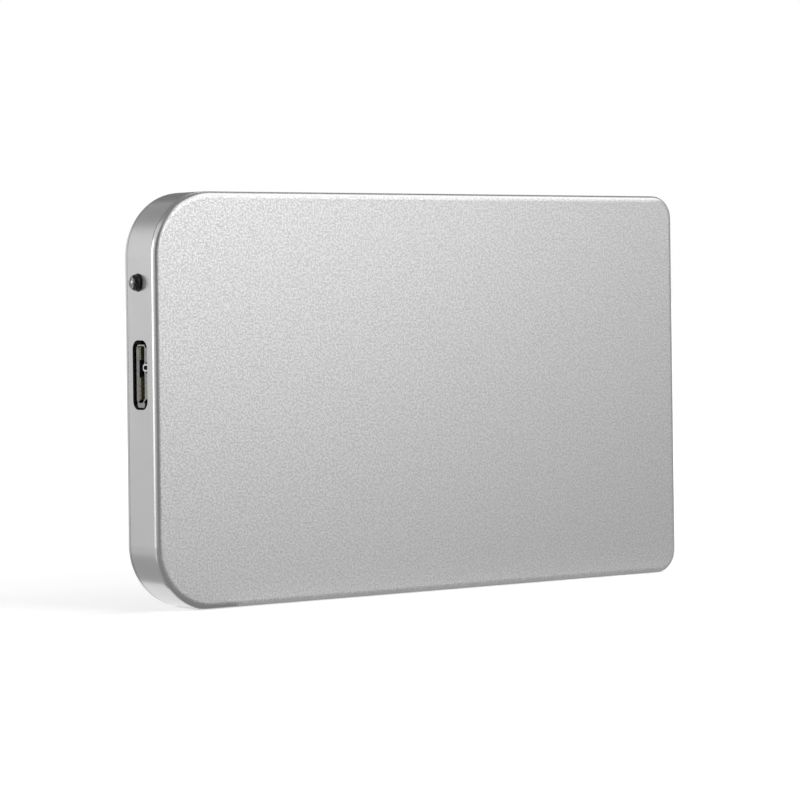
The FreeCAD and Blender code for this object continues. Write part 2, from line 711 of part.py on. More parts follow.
def make_drive_socket():
    """Housing at the edge of the board with two keyed slots and a groove for each row of springs."""
    near, far = DRIVE_LID_INSIDE + SOCKET_GAP, DRIVE_FLOOR - SOCKET_GAP
    low, high = PLUG_Z - SOCKET_WIDTH / 2, PLUG_Z + SOCKET_WIDTH / 2
    body = block(BOARD_END_X, SOCKET_END_X, near, far, low, high)
    ear_x = BOARD_END_X - SOCKET_EAR_REACH
    ears = [
        block(ear_x, BOARD_END_X, near, BOARD_FRONT, low, low + SOCKET_EAR),
        block(ear_x, BOARD_END_X, near, BOARD_FRONT, high - SOCKET_EAR, high),
    ]
    cuts = blade_solids(SLIP_GAP, BLADE_X - SLIP_GAP, SOCKET_END_X)
    end = SOCKET_END_X - ROOM_GAP
    for pins in pin_heights():
        low, high = pins[0] - PIN_WIDTH / 2, pins[-1] + PIN_WIDTH / 2
        cuts.append(block(BOARD_END_X, end, PIN_FACE - PIN_SHEET, PIN_FACE, low, high))
    return body.fuse(ears).cut(cuts).removeSplitter()


def make_socket_contacts():
    """Springs in the socket that press on the pads of the plug, soldered to the board."""
    outer = BOARD_END_X - 2 * PIN_SHEET
    inner = BOARD_END_X - PIN_SHEET
    top = PIN_FACE - PIN_SHEET
    end = SOCKET_END_X - ROOM_GAP
    side = [
        (end, top),
        (end, PIN_FACE),
        (inner, PIN_FACE),
        (inner, BOARD_FRONT),
        (outer, BOARD_FRONT),
        (outer, top),
    ]
    signal, power = pin_heights()
    return [strip(side, z, PIN_WIDTH) for z in signal + power]


def make_drive_plug():
    """Plug of the drive: base block with the signal and the power blade."""
    near, far = DRIVE_LID_INSIDE + PLUG_GAP, DRIVE_FLOOR - PLUG_GAP
    base = block(PLUG_X, PLUG_END_X, near, far, PLUG_Z - PLUG_WIDTH / 2, PLUG_Z + PLUG_WIDTH / 2)
    return base.fuse(blade_solids(0, BLADE_X, PLUG_X)).removeSplitter()


def make_drive_plug_contacts():
    """Gold pads along the blades of the plug."""
    half = PIN_WIDTH / 2
    signal, power = pin_heights()
    return [
        block(BLADE_X + PAD_SHEET, PLUG_X, PIN_FACE, BLADE_FRONT, z - half, z + half)
        for z in signal + power
    ]


def chip_on(x, z, board, size):
    """Flat package standing on the front of a board, with its top edge eased."""
    size_x, size_z, height = size
    body = block(x - size_x / 2, x + size_x / 2, board - height, board, z - size_z / 2, z + size_z / 2)
    return body.makeChamfer(CHIP_BEVEL, edges_at_depth(body, board - height))


def make_bridge_chip():
    """Square bridge controller."""
    x, z = board_place(BRIDGE_CHIP_PLACE)
    return chip_on(x, z, BOARD_FRONT, (BRIDGE_CHIP_SIZE, BRIDGE_CHIP_SIZE, BRIDGE_CHIP_HEIGHT))


def make_memory_chip():
    """Small chip on eight bent legs that holds the controller's settings."""
    x, z = board_place(MEMORY_CHIP_PLACE)
    sheet = MEMORY_LEG_SHEET
    size = (MEMORY_CHIP_LENGTH, MEMORY_CHIP_WIDTH, MEMORY_CHIP_HEIGHT - sheet)
    body = chip_on(x, z, BOARD_FRONT - sheet, size)
    top = BOARD_FRONT - MEMORY_CHIP_HEIGHT / 2
    inner, outer = MEMORY_CHIP_WIDTH / 2 - sheet, MEMORY_LEG_SPAN / 2
    knee = (inner + outer) / 2
    leg = [
        (inner, top - sheet),
        (knee + sheet, top - sheet),
        (outer, BOARD_FRONT),
        (outer - sheet, BOARD_FRONT),
        (knee, top),
        (inner, top),
    ]
    legs = []
    for i in range(MEMORY_LEGS_A_SIDE):
        middle = x + MEMORY_LEG_PITCH * (i - (MEMORY_LEGS_A_SIDE - 1) / 2)
        for side in (-1, 1):
            points = [at(middle - MEMORY_LEG_WIDTH / 2, depth, z + side * run) for run, depth in leg]
            legs.append(polygon(points).extrude(ALONG_X * MEMORY_LEG_WIDTH))
    return body.fuse(legs).removeSplitter()


def make_clock_crystal():
    """Crystal in a flat metal can."""
    x, z = board_place(CRYSTAL_PLACE)
    return chip_on(x, z, BOARD_FRONT, CRYSTAL_SIZE)


def make_power_inductor():
    """Coil moulded into a square block."""
    x, z = board_place(INDUCTOR_PLACE)
    return chip_on(x, z, BOARD_FRONT, (INDUCTOR_SIZE, INDUCTOR_SIZE, INDUCTOR_HEIGHT))


def end_capped(places, board, size):
    """Small two-ended parts: a body between two end caps that stand a little proud."""
    length, width, height = size
    waist = width / 2 - END_CAP_STEP
    solids = []
    for x, z in places:
        start, end = x - length / 2, x + length / 2
        top = board - height
        body = block(start + END_CAP, end - END_CAP, top + END_CAP_STEP, board, z - waist, z + waist)
        caps = [
            block(start, start + END_CAP, top, board, z - width / 2, z + width / 2),
            block(end - END_CAP, end, top, board, z - width / 2, z + width / 2),
        ]
        solids.append(body.fuse(caps))
    return solids


def drive_slab(inset, depth0, depth1):
    """Plate of the drive outline drawn in by inset."""
    radius = max(DRIVE_CORNER_RADIUS - inset, 0)
    outline = rounded_outline(
        DRIVE_X + inset, DRIVE_END_X - inset, DRIVE_Z + inset, DRIVE_TOP_Z - inset, depth0, (radius,) * 4
    )
    return outline.extrude(ALONG_Y * (depth1 - depth0))


def drive_board_posts():
    """Square posts on the tray under the corners of the drive's board."""
    half = DRIVE_POST / 2
    root = DRIVE_BACK - DRIVE_SKIN / 2
    rows = (PLUG_END_X + half, PLUG_END_X + DRIVE_BOARD_LENGTH - half)
    sides = (MID_Z - DRIVE_BOARD_WIDTH / 2 + half, MID_Z + DRIVE_BOARD_WIDTH / 2 - half)
    return [square_post(DRIVE_POST, x, z, DRIVE_BOARD_BACK, root) for x in rows for z in sides]


def make_drive_tray():
    """Tray of the drive with posts, fixing pads, the standard's fixing holes and the plug opening."""
    tray = drive_slab(0, DRIVE_LID_INSIDE, DRIVE_BACK)
    tray = tray.cut(drive_slab(DRIVE_WALL, DRIVE_LID_INSIDE, DRIVE_FLOOR))
    root = DRIVE_BACK - DRIVE_SKIN / 2
    pad_top = DRIVE_LID_INSIDE + LID_RIB_HEIGHT + SLIP_GAP
    half = FIXING_PAD / 2
    added = drive_board_posts()
    cuts = []
    for x in (DRIVE_X + HEAD_FIXING_INSET, DRIVE_END_X - TAIL_FIXING_INSET):
        for edge, inward in ((DRIVE_Z, 1), (DRIVE_TOP_Z, -1)):
            low, high = sorted((edge + inward * DRIVE_WALL / 2, edge + inward * FIXING_PAD))
            added.append(block(x - half, x + half, pad_top, root, low, high))
            z = edge + inward * FIXING_HOLE_INSET
            cuts.append(rod(FIXING_HOLE_RADIUS, x, z, DRIVE_BACK - FIXING_HOLE_DEPTH, DRIVE_BACK))
    low, high = PLUG_Z - SOCKET_WIDTH / 2 - ROOM_GAP, PLUG_Z + SOCKET_WIDTH / 2 + ROOM_GAP
    cuts.append(block(DRIVE_X, DRIVE_X + DRIVE_WALL, DRIVE_LID_INSIDE, DRIVE_FLOOR, low, high))
    return tray.fuse(added).cut(cuts).removeSplitter()


def make_drive_lid():
    """Flat lid of the drive, pressed on by a rib along each long side."""
    lid = drive_slab(0, DRIVE_FRONT, DRIVE_LID_INSIDE)
    outer = DRIVE_WALL + SLIP_GAP
    inner = outer + LID_RIB
    end = DRIVE_LID_INSIDE + LID_RIB_HEIGHT
    along = (DRIVE_X + LID_RIB_MARGIN, DRIVE_END_X - LID_RIB_MARGIN)
    ribs = [
        block(*along, DRIVE_LID_INSIDE, end, DRIVE_Z + outer, DRIVE_Z + inner),
        block(*along, DRIVE_LID_INSIDE, end, DRIVE_TOP_Z - inner, DRIVE_TOP_Z - outer),
    ]
    return lid.fuse(ribs).removeSplitter()


def make_drive_board():
    """Short board of the drive, up against its plug."""
    half = DRIVE_BOARD_WIDTH / 2
    end = PLUG_END_X + DRIVE_BOARD_LENGTH
    return block(PLUG_END_X, end, DRIVE_BOARD_FRONT, DRIVE_BOARD_BACK, MID_Z - half, MID_Z + half)


def make_drive_chip(place, size):
    """Flat package on the drive's board."""
    x, z = drive_place(place)
    return chip_on(x, z, DRIVE_BOARD_FRONT, size)


def make_thermal_pad():
    """Soft pad that carries heat from the controller to the lid."""
    x, z = drive_place(CONTROLLER_PLACE)
    controller_top = DRIVE_BOARD_FRONT - CONTROLLER_SIZE[2]
    return square_post(THERMAL_PAD_SIZE, x, z, DRIVE_LID_INSIDE, controller_top)


board_capacitor_places = [board_place(place) for place in BOARD_CAPACITOR_PLACES]
board_resistor_places = [board_place(place) for place in BOARD_RESISTOR_PLACES]
drive_capacitor_places = [drive_place(place) for place in DRIVE_CAPACITOR_PLACES]

PIECES = {
    "front_shell": make_front_shell(),
    "back_cover": make_back_cover(),
    "cover_screws": make_cover_screws(),
    "insulating_sheet": make_insulating_sheet(),
    "front_cushions": make_cushions(FACE, DRIVE_FRONT),
    "back_cushions": make_cushions(DRIVE_BACK, RIM_DEPTH),
    "indicator_lamp": make_indicator_lamp(),
    "lamp_leads": make_lamp_leads(),
    "bridge_board": make_bridge_board(),
    "port_shell": make_port_shell(),
    "port_insulator": make_port_insulator(),
    "port_contacts": make_port_contacts(),
    "drive_socket": make_drive_socket(),
    "socket_contacts": make_socket_contacts(),
    "bridge_chip": make_bridge_chip(),
    "memory_chip": make_memory_chip(),
    "clock_crystal": make_clock_crystal(),
    "power_inductor": make_power_inductor(),
    "board_capacitors": end_capped(board_capacitor_places, BOARD_FRONT, CAPACITOR_SIZE),
    "board_resistors": end_capped(board_resistor_places, BOARD_FRONT, RESISTOR_SIZE),
    "drive_tray": make_drive_tray(),
    "drive_lid": make_drive_lid(),
    "drive_board": make_drive_board(),
    "drive_controller": make_drive_chip(CONTROLLER_PLACE, CONTROLLER_SIZE),
    "drive_cache_chip": make_drive_chip(CACHE_PLACE, CACHE_SIZE),
    "drive_flash_chips": [make_drive_chip(place, FLASH_SIZE) for place in FLASH_PLACES],
    "drive_capacitors": end_capped(drive_capacitor_places, DRIVE_BOARD_FRONT, CAPACITOR_SIZE),
    "drive_plug": make_drive_plug(),
    "drive_plug_contacts": make_drive_plug_contacts(),
    "thermal_pad": make_thermal_pad(),
}

os.makedirs("parts", exist_ok=True)
for node, made in PIECES.items():
    shape = Part.makeCompound(made) if isinstance(made, list) else made
    shape.exportStep(f"parts/{node}.step")
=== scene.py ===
import json
import math

import bpy
from mathutils import Matrix, Vector


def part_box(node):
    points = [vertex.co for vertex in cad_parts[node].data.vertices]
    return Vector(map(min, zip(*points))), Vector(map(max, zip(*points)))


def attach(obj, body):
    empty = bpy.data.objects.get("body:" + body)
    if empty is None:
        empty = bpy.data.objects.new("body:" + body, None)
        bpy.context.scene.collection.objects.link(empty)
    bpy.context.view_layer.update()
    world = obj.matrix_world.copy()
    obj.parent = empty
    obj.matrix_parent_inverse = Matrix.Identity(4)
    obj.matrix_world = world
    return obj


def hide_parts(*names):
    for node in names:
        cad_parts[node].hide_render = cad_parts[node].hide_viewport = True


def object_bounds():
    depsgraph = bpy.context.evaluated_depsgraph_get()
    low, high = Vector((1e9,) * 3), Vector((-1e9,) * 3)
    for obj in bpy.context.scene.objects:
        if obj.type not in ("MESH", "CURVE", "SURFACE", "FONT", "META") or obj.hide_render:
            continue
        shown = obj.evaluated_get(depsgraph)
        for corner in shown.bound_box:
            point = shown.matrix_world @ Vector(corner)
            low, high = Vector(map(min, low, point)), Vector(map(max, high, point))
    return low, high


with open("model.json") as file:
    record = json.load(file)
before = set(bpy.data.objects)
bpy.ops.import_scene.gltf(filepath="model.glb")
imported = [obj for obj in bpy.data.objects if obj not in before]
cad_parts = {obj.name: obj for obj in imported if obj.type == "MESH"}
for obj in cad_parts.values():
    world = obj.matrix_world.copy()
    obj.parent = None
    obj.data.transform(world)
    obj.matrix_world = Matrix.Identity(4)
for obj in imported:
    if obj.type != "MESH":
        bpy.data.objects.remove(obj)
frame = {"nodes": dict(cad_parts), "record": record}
cad_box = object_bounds()
nodes = frame["nodes"]

MM = 0.001

# Big faces and middle of the case
SHELL_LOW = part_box("front_shell")[0]
FACE_Y = SHELL_LOW.y
BACK_Y = cad_box[1][1]
CASE_MIDDLE = Vector((0, 0, 0.0385))

# Indicator lamp, with its flange behind the head wall
LAMP_LOW, LAMP_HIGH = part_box("indicator_lamp")
LAMP_FLANGE_STEP = 0.35 * MM
LAMP_FLANGE = 0.9 * MM
DOME_STEPS = 24
DOME_SIDES = 96

# Grain and clouding that the finishes share
NOISE_MIDDLE = 0.5
GRAIN_DETAIL = 0.6
CLOUD_DETAIL = 3.0
CLOUD_LOW = 0.3
CLOUD_HIGH = 0.7
FINISH_CONTRAST = 1.6
GRAINS_PER_CLOUD = 20

# Case aluminium: the blasted finish ends a little behind each big face, the walls are satin
BLAST_FULL = 0.03 * MM
BLAST_END = 0.25 * MM
BLAST_SCALE = 3000.0
BLAST_CONTRAST = 3.8
BLAST_DARK = 0.50
BLAST_LIGHT = 0.65
BLAST_ROUGHNESS = (0.50, 0.42)
BLAST_RELIEF = 0.03 * MM
BLAST_RELIEF_STRENGTH = 0.5
WALL_CLOUD_SCALE = 90.0
WALL_DARK = 0.55
WALL_LIGHT = 0.58
WALL_ROUGHNESS = 0.26

# Port steel: tin set dark as painted shade in its slot, with a painted highlight round the curl of the
# notch
CURL_Z = 44.71 * MM
CURL_Y = -1.375 * MM
HIGHLIGHT_BESIDE = (0.5 * MM, 1.1 * MM)
HIGHLIGHT_BEHIND = (0.6 * MM, 1.2 * MM)
# The two tin grain colours are set dark as painted shade in the slot; the third colour is a painted
# highlight round the curl.
TIN_DARK = (0.22, 0.22, 0.21, 1)
TIN_LIGHT = (0.33, 0.33, 0.32, 1)
TIN_HIGHLIGHT = (0.66, 0.66, 0.64, 1)
TIN_ROUGHNESS = (0.20, 0.32)
TIN_SCALE = 1800.0
TIN_RELIEF = 0.003 * MM

# Lamp lens: smoked, with a polish that fades behind its tip
LENS_DARK = 0.22
LENS_LIGHT = 0.28
LENS_ROUGHNESS = (0.04, 0.08)
LENS_SCALE = 900.0
LENS_IOR = 1.5
POLISH_ROUGHNESS = 0.14
POLISH_IOR = 2.3
POLISH_FULL = 0.12 * MM
POLISH_FADE = 0.5 * MM

# Camera at the viewing angle of the photograph
CAMERA_PLACE = Vector((-0.36985, -0.50064, 0.05711))
CAMERA_RIGHT = Vector((0.79775, -0.60288, -0.01284))
CAMERA_UP = Vector((0.00729, -0.01164, 0.99990))
CAMERA_FORWARD = Vector((0.60297, 0.79777, 0.00489))
CAMERA_LENS = 143.72
CAMERA_SHIFT = (-0.06044, -0.14948)
CAMERA_SENSOR = 36.0
CAMERA_NEAR = 0.01
CAMERA_FAR = 100.0

# White room and pale floor, whose own glow is weaker near the case so that its shadow shows
ROOM_WHITE = 1.0
ROOM_FILL = 0.45
FLOOR_SIZE = 30.0
FLOOR_COLOUR = (0.86, 0.86, 0.86, 1)
FLOOR_ROUGHNESS = 0.9
FLOOR_GLOW_NEAR = 0.40
FLOOR_GLOW_FAR = 0.72
FLOOR_NEAR = 0.12
FLOOR_FAR = 0.40

# Softboxes, all aimed at the middle of the case: place, width, height, how bright the face looks
SOFTBOXES = {
    "key_softbox": ((0.17, -0.49, 0.216), 0.39, 0.34, 2.75),
    "upper_softbox": ((0.09, -0.407, 0.518), 0.42, 0.35, 1.2),
    "left_softbox": ((-0.82, 0.20, 0.17), 0.30, 0.40, 3.2),
    "top_softbox": ((0.44, -0.19, 0.58), 0.5, 0.5, 1.5),
}

# Grey cards that only show in reflections: centre, half width, half height, tone
CARDS = {
    "front_card": ((0, -1.5, 0.9), (2.5, 0, 0), (0, 0, 0.9), 0.345),
    "right_card": ((1.5, -0.5, 0.9), (0, 1.0, 0), (0, 0, 0.9), 0.45),
    "ceiling_card": ((0.9, -0.2, 0.8), (1.6, 0, 0), (0, 1.6, 0), 0.34),
    "back_ceiling_card": ((-1.6, 1.1, 0.8), (0.9, 0, 0), (0, 0.3, 0), 0.34),
    "top_glow_card": ((0.36, 0.60, 0.75), (0.14, 0, 0), (0, 0.18, 0), 1.4),
    "back_right_card": ((0.8, 1.3, 0.45), (0.45, 0, 0), (0, 0, 0.4), 0.2),
    "camera_card": ((-0.85, -1.2, 0.6), (0.75, 0, 0), (0, 0, 0.6), 0.20),
    # The table cards lie on the floor and show only in reflections. The front one darkens the floor
    # ahead of the case. The edge, left and back ones are painted shadow of the floor round the case.
    # under_table_card, the bright one, is painted light on the floor under the case.
    "front_table_card": ((0.2, -0.7538, 0.0002), (1.2, 0, 0), (0, 0.75, 0), 0.325),
    "edge_table_card": ((0.06, -0.0079, 0.0003), (0.105, 0, 0), (0, 0.0041, 0), 0.55),
    "left_table_card": ((-0.07325, 0.028, 0.0003), (0.01175, 0, 0), (0, 0.0318, 0), 0.46),
    "under_table_card": ((0.0045, 0.028, 0.0003), (0.066, 0, 0), (0, 0.0318, 0), 1.05),
    "back_table_card": ((-0.5, 1.006, 0.0002), (1.5, 0, 0), (0, 1.0, 0), 0.68),
}


class Graph:
    """Short ways to add and join the nodes of one material or node group."""

    def __init__(self, tree):
        self.tree = tree

    def node(self, kind, inputs=None, **settings):
        made = self.tree.nodes.new(kind)
        for name, value in settings.items():
            setattr(made, name, value)
        for name, value in (inputs or {}).items():
            self.feed(made.inputs[name], value)
        return made

    def feed(self, socket, value):
        if isinstance(value, bpy.types.NodeSocket):
            self.tree.links.new(value, socket)
        else:
            socket.default_value = value

    def math(self, operation, first, second=0.0):
        return self.node("ShaderNodeMath", {0: first, 1: second}, operation=operation).outputs[0]

    def spread(self, value, low, high, to_low, to_high, smooth=False):
        """Value carried from one range to another, and held at its ends."""
        kind = "SMOOTHSTEP" if smooth else "LINEAR"
        inputs = {"Value": value, "From Min": low, "From Max": high, "To Min": to_low, "To Max": to_high}
        made = self.node("ShaderNodeMapRange", inputs, interpolation_type=kind, clamp=True)
        return made.outputs["Result"]

    def fade(self, value, start, end):
        """Mask that is full up to a start and gone from an end."""
        return self.spread(value, start, end, 1.0, 0.0, smooth=True)

    def blend(self, share, first, second):
        """Colour between two colours."""
        inputs = {"Factor": share, 6: first, 7: second}
        return self.node("ShaderNodeMix", inputs, data_type="RGBA").outputs[2]

    def noise(self, scale, detail):
        inputs = {"Vector": self.place(), "Scale": scale, "Detail": detail}
        return self.node("ShaderNodeTexNoise", inputs).outputs["Fac"]

    def place(self):
        """Point on the piece in the frame of the case, in metres."""
        return self.node("ShaderNodeTexCoord").outputs["Object"]

    def axes(self):
        """The three numbers of that point."""
        return self.node("ShaderNodeSeparateXYZ", {0: self.place()}).outputs

    def seen(self):
        """1 on rays from the camera, off a gloss or through the lens, 0 on all other rays."""
        ray = self.node("ShaderNodeLightPath").outputs
        direct = self.math("MAXIMUM", ray["Is Camera Ray"], ray["Is Glossy Ray"])
        return self.math("MAXIMUM", direct, ray["Is Transmission Ray"])


def make_group(name, inputs, outputs):
    """Empty node group with plain number sockets: returns its graph, its inputs and its outputs."""
    tree = bpy.data.node_groups.new(name, "ShaderNodeTree")
    for label in inputs:
        tree.interface.new_socket(label, in_out="INPUT", socket_type="NodeSocketFloat")
    for label in outputs:
        tree.interface.new_socket(label, in_out="OUTPUT", socket_type="NodeSocketFloat")
    graph = Graph(tree)
    source = graph.node("NodeGroupInput").outputs
    target = graph.node("NodeGroupOutput").inputs
    return graph, source, target


def make_grain_group():
    """Even fine grain: a mask of light and dark grains and a height to go with it."""
    graph, source, target = make_group("fine_grain", ("Scale", "Contrast"), ("Mask", "Height"))
    fine = graph.noise(source["Scale"], GRAIN_DETAIL)
    centred = graph.math("SUBTRACT", fine, NOISE_MIDDLE)
    strong = graph.math("MULTIPLY", centred, source["Contrast"])
    mask = graph.math("ADD", strong, NOISE_MIDDLE)
    graph.feed(target["Mask"], graph.spread(mask, 0.0, 1.0, 0.0, 1.0))
    graph.feed(target["Height"], fine)
    return graph.tree


def make_clouding_group():
    """Broad soft unevenness, as handling and plating leave it."""
    graph, source, target = make_group("soft_clouding", ("Scale",), ("Mask",))
    broad = graph.noise(source["Scale"], CLOUD_DETAIL)
    graph.feed(target["Mask"], graph.spread(broad, CLOUD_LOW, CLOUD_HIGH, 0.0, 1.0, smooth=True))
    return graph.tree


GRAIN = make_grain_group()
CLOUDING = make_clouding_group()


def new_material(name, **shader):
    """Material with a Principled shader: returns the material, its graph and the shader's inputs."""
    material = bpy.data.materials.new(name)
    material.use_nodes = True
    material.node_tree.nodes.clear()
    graph = Graph(material.node_tree)
    bsdf = graph.node("ShaderNodeBsdfPrincipled")
    for label, value in shader.items():
        bsdf.inputs[label.replace("_", " ")].default_value = value
    graph.node("ShaderNodeOutputMaterial", {"Surface": bsdf.outputs[0]})
    return material, graph, bsdf.inputs


def grain(graph, scale, contrast=FINISH_CONTRAST):
    inputs = {"Scale": scale, "Contrast": contrast}
    made = graph.node("ShaderNodeGroup", inputs, node_tree=GRAIN)
    return made.outputs["Mask"], made.outputs["Height"]


def clouding(graph, scale):
    return graph.node("ShaderNodeGroup", {"Scale": scale}, node_tree=CLOUDING).outputs["Mask"]


def raise_grain(graph, inputs, height, relief, strength=1.0):
    bump = graph.node("ShaderNodeBump", {"Strength": strength, "Distance": relief, "Height": height})
    graph.feed(inputs["Normal"], bump.outputs["Normal"])


def grey(value):
    return (value, value, value, 1)


def make_case_aluminium(name, face_y, inward):
    """Case aluminium: blasted sparkling big face, satin walls and edges."""
    material, graph, inputs = new_material(name, Metallic=1.0)
    y = graph.axes()["Y"]
    on_face = graph.fade(y, face_y + inward * BLAST_FULL, face_y + inward * BLAST_END)
    mask, height = grain(graph, BLAST_SCALE, BLAST_CONTRAST)
    face_colour = graph.blend(mask, grey(BLAST_DARK), grey(BLAST_LIGHT))
    wall_colour = graph.blend(clouding(graph, WALL_CLOUD_SCALE), grey(WALL_DARK), grey(WALL_LIGHT))
    graph.feed(inputs["Base Color"], graph.blend(on_face, wall_colour, face_colour))
    face_rough = graph.spread(mask, 0.0, 1.0, *BLAST_ROUGHNESS)
    rough = graph.node("ShaderNodeMix", {"Factor": on_face, 2: WALL_ROUGHNESS, 3: face_rough})
    graph.feed(inputs["Roughness"], rough.outputs[0])
    depth = graph.math("MULTIPLY", height, on_face)
    raise_grain(graph, inputs, depth, BLAST_RELIEF, BLAST_RELIEF_STRENGTH)
    return material


def make_port_steel():
    """Tinned sheet of the port, set dark as painted shade in its slot, with a painted highlight round
    the curl of its notch.
    """
    material, graph, inputs = new_material("port_steel", Metallic=1.0)
    axes = graph.axes()
    mask, height = grain(graph, TIN_SCALE)
    # Painted highlight: the tin is painted bright round the curl of the notch.
    away = graph.math("ABSOLUTE", graph.math("SUBTRACT", axes["Z"], CURL_Z))
    beside = graph.fade(away, *HIGHLIGHT_BESIDE)
    forward = graph.fade(axes["Y"], CURL_Y + HIGHLIGHT_BEHIND[0], CURL_Y + HIGHLIGHT_BEHIND[1])
    painted_highlight = graph.math("MULTIPLY", beside, forward)
    # Tin grain colours set dark as painted shade in the slot.
    shaded_tin = graph.blend(mask, TIN_DARK, TIN_LIGHT)
    graph.feed(inputs["Base Color"], graph.blend(painted_highlight, shaded_tin, TIN_HIGHLIGHT))
    graph.feed(inputs["Roughness"], graph.spread(mask, 0.0, 1.0, *TIN_ROUGHNESS))
    raise_grain(graph, inputs, height, TIN_RELIEF)
    return material


def make_lamp_lens():
    """Smoked lens of the lamp: a polished tip on a duller flank."""
    material, graph, inputs = new_material(
        "lamp_lens",
        Transmission_Weight=1.0,
        IOR=LENS_IOR,
        Coat_Roughness=POLISH_ROUGHNESS,
        Coat_IOR=POLISH_IOR,
    )
    x = graph.axes()["X"]
    mask = grain(graph, LENS_SCALE)[0]
    graph.feed(inputs["Base Color"], graph.blend(mask, grey(LENS_DARK), grey(LENS_LIGHT)))
    graph.feed(inputs["Roughness"], graph.spread(mask, 0.0, 1.0, *LENS_ROUGHNESS))
    polish_end = LAMP_LOW.x + POLISH_FULL
    graph.feed(inputs["Coat Weight"], graph.fade(x, polish_end, polish_end + POLISH_FADE))
    return material


def make_plain_finish(name, dark, light, rough, scale, relief, metal):
    """Plain finish: two near colours and two roughnesses spread by the grain, with a slight relief."""
    material, graph, inputs = new_material(name, Metallic=metal)
    mask, height = grain(graph, scale)
    cloud = clouding(graph, scale / GRAINS_PER_CLOUD)
    share = graph.math("MULTIPLY", graph.math("ADD", mask, cloud), 0.5)
    graph.feed(inputs["Base Color"], graph.blend(share, dark, light))
    graph.feed(inputs["Roughness"], graph.spread(mask, 0.0, 1.0, *rough))
    raise_grain(graph, inputs, height, relief)
    return material


MATERIALS = {
    "blasted_aluminium": make_case_aluminium("blasted_aluminium", FACE_Y, 1),
    "cover_aluminium": make_case_aluminium("cover_aluminium", BACK_Y, -1),
    "port_steel": make_port_steel(),
    "lamp_lens": make_lamp_lens(),
}

# Plain metals: darker and lighter colour, roughness range, grain scale, relief in mm
PLAIN_METALS = {
    "screw_steel": (grey(0.50), grey(0.60), (0.22, 0.32), 3000.0, 0.004),
    "lead_steel": ((0.62, 0.62, 0.60, 1), (0.74, 0.74, 0.71, 1), (0.2, 0.3), 3000.0, 0.003),
    "crystal_can": ((0.60, 0.57, 0.50, 1), (0.72, 0.69, 0.60, 1), (0.2, 0.3), 2500.0, 0.003),
    # contact_gold is set dark and dull as painted shade for the contacts inside the slot.
    "contact_gold": ((0.42, 0.35, 0.20, 1), (0.52, 0.44, 0.26, 1), (0.3, 0.42), 3500.0, 0.002),
    "drive_aluminium": (grey(0.16), grey(0.20), (0.38, 0.48), 2200.0, 0.004),
}

# Plastics, ceramics, foam and film, with the same columns
PLAIN_PLASTICS = {
    "port_plastic": ((0.11, 0.105, 0.07, 1), (0.15, 0.145, 0.10, 1), (0.45, 0.6), 3000.0, 0.006),
    "socket_plastic": (grey(0.02), grey(0.035), (0.45, 0.6), 2500.0, 0.006),
    "board_laminate": ((0.004, 0.016, 0.010, 1), (0.007, 0.024, 0.015, 1), (0.3, 0.42), 900.0, 0.004),
    "chip_epoxy": (grey(0.02), grey(0.035), (0.5, 0.65), 3500.0, 0.006),
    "capacitor_ceramic": ((0.40, 0.27, 0.15, 1), (0.52, 0.38, 0.23, 1), (0.35, 0.5), 2500.0, 0.004),
    "resistor_ceramic": (grey(0.03), grey(0.05), (0.25, 0.4), 2500.0, 0.004),
    "inductor_ferrite": (grey(0.09), grey(0.14), (0.55, 0.7), 2500.0, 0.008),
    "cushion_foam": (grey(0.03), grey(0.06), (0.85, 0.95), 1500.0, 0.05),
    "thermal_gum": ((0.30, 0.35, 0.43, 1), (0.40, 0.45, 0.53, 1), (0.55, 0.7), 1500.0, 0.01),
    "film_plastic": ((0.55, 0.42, 0.14, 1), (0.65, 0.52, 0.20, 1), (0.15, 0.25), 700.0, 0.003),
}

for finishes, metal in ((PLAIN_METALS, 1.0), (PLAIN_PLASTICS, 0.0)):
    for slot, (dark, light, rough, scale, relief) in finishes.items():
        MATERIALS[slot] = make_plain_finish(slot, dark, light, rough, scale, relief * MM, metal)

for part in frame["record"]["subparts"]:
    piece = nodes[part["node"]]
    piece.data.materials.clear()
    piece.data.materials.append(MATERIALS[part["material_slot"]])


def add_object(name, data):
    made = bpy.data.objects.new(name, data)
    bpy.context.scene.collection.objects.link(made)
    return made


